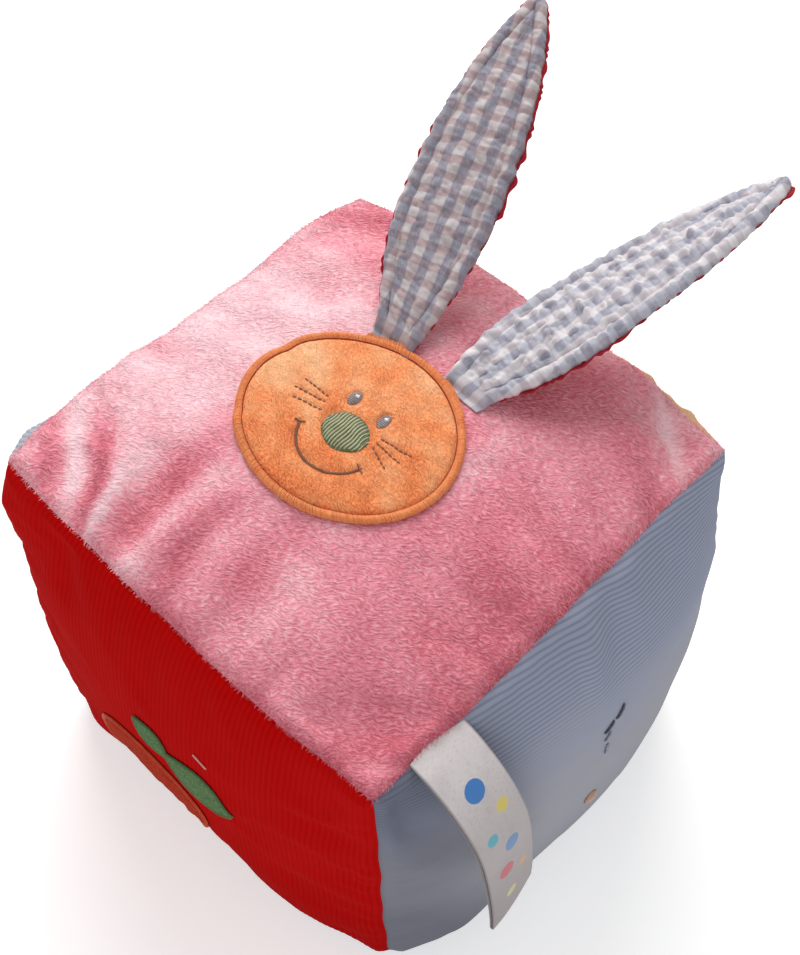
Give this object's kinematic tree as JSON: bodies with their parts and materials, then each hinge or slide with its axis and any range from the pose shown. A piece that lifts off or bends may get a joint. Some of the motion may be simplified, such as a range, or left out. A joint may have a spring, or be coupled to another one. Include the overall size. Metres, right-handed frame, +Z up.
{
  "type": "soft fabric block",
  "caption": "Stuffed fabric cube toy with a rabbit face patch on top, two folding cloth ears, velour and needlecord sides and a folded ribbon label in a seam.",
  "frame": {"origin": "on the surface that the block rests on, under the middle of the block, at the middle of the base panel's flat resting area", "axes": "+Z up out of the face panel, +Y from the face towards the ears and the peach side, +X towards the blue side that carries the label, -Y towards the red side"},
  "size_m": [0.2061, 0.2345, 0.2082],
  "materials": {
    "pink_velour": "short soft pile",
    "red_needlecord": "fine ribbed cord",
    "blue_needlecord": "fine ribbed cord",
    "peach_velour": "short soft pile",
    "grey_needlecord": "fine ribbed cord",
    "stuffing_fibre": "loose polyester fibre",
    "rattle_plastic": "moulded",
    "bead_plastic": "moulded",
    "orange_velour": "short soft pile",
    "border_thread": "satin stitch",
    "nose_thread": "satin stitch",
    "eye_thread": "satin stitch",
    "line_thread": "running stitch",
    "gingham": "puckered check",
    "ear_wadding": "thin wadding",
    "ear_back_cotton": "plain weave",
    "ribbon": "woven satin",
    "fruit_cloth": "sewn-on cloth",
    "leaf_cloth": "sewn-on cloth",
    "sprig_thread": "embroidery thread",
    "bud_thread": "embroidery thread"
  },
  "bodies": {
    "block": {"top_panel": "pink_velour", "red_side_panel": "red_needlecord", "blue_side_panel": "blue_needlecord", "peach_side_panel": "peach_velour", "grey_side_panel": "grey_needlecord", "base_panel": "blue_needlecord", "stuffing_upper": "stuffing_fibre", "stuffing_lower": "stuffing_fibre", "rattle_case_lower": "rattle_plastic", "rattle_case_upper": "rattle_plastic", "rattle_bead_1": "bead_plastic", "rattle_bead_2": "bead_plastic", "rattle_bead_3": "bead_plastic", "face_patch": "orange_velour", "face_border": "border_thread", "nose": "nose_thread", "left_eye": "eye_thread", "right_eye": "eye_thread", "mouth": "line_thread", "left_whisker_1": "line_thread", "left_whisker_2": "line_thread", "left_whisker_3": "line_thread", "right_whisker_1": "line_thread", "right_whisker_2": "line_thread", "right_whisker_3": "line_thread", "left_ear_root": "gingham", "right_ear_root": "gingham", "fruit_patch": "fruit_cloth", "long_leaf": "leaf_cloth", "short_leaf": "leaf_cloth", "sprig_stitch_1": "sprig_thread", "sprig_stitch_2": "sprig_thread", "sprig_stitch_3": "sprig_thread", "sprig_stitch_4": "sprig_thread", "bud": "bud_thread"},
    "left_ear": {"left_ear_front": "gingham", "left_ear_wadding": "ear_wadding", "left_ear_back": "ear_back_cotton"},
    "right_ear": {"right_ear_front": "gingham", "right_ear_wadding": "ear_wadding", "right_ear_back": "ear_back_cotton"},
    "label": {"label_ribbon": "ribbon"}
  },
  "joints": [
    {"name": "left_ear_fold", "type": "hinge", "parent": "block", "child": "left_ear", "pos_m": [-0.01791, 0.03122, 0.17021], "axis": [0.9973, 0.0103, 0.0727], "range_deg": [-22, 130], "stiffness_Nm_per_rad": 0.01},
    {"name": "right_ear_fold", "type": "hinge", "parent": "block", "child": "right_ear", "pos_m": [0.01143, 0.03127, 0.17088], "axis": [0.9997, -0.0073, -0.0247], "range_deg": [-18, 130], "stiffness_Nm_per_rad": 0.01},
    {"name": "label_hinge", "type": "hinge", "parent": "block", "child": "label", "pos_m": [0.07625, -0.05434, 0.15499], "axis": [-0.006, -1, 0.0036], "range_deg": [-8, 145], "stiffness_Nm_per_rad": 0.004}
  ]
}
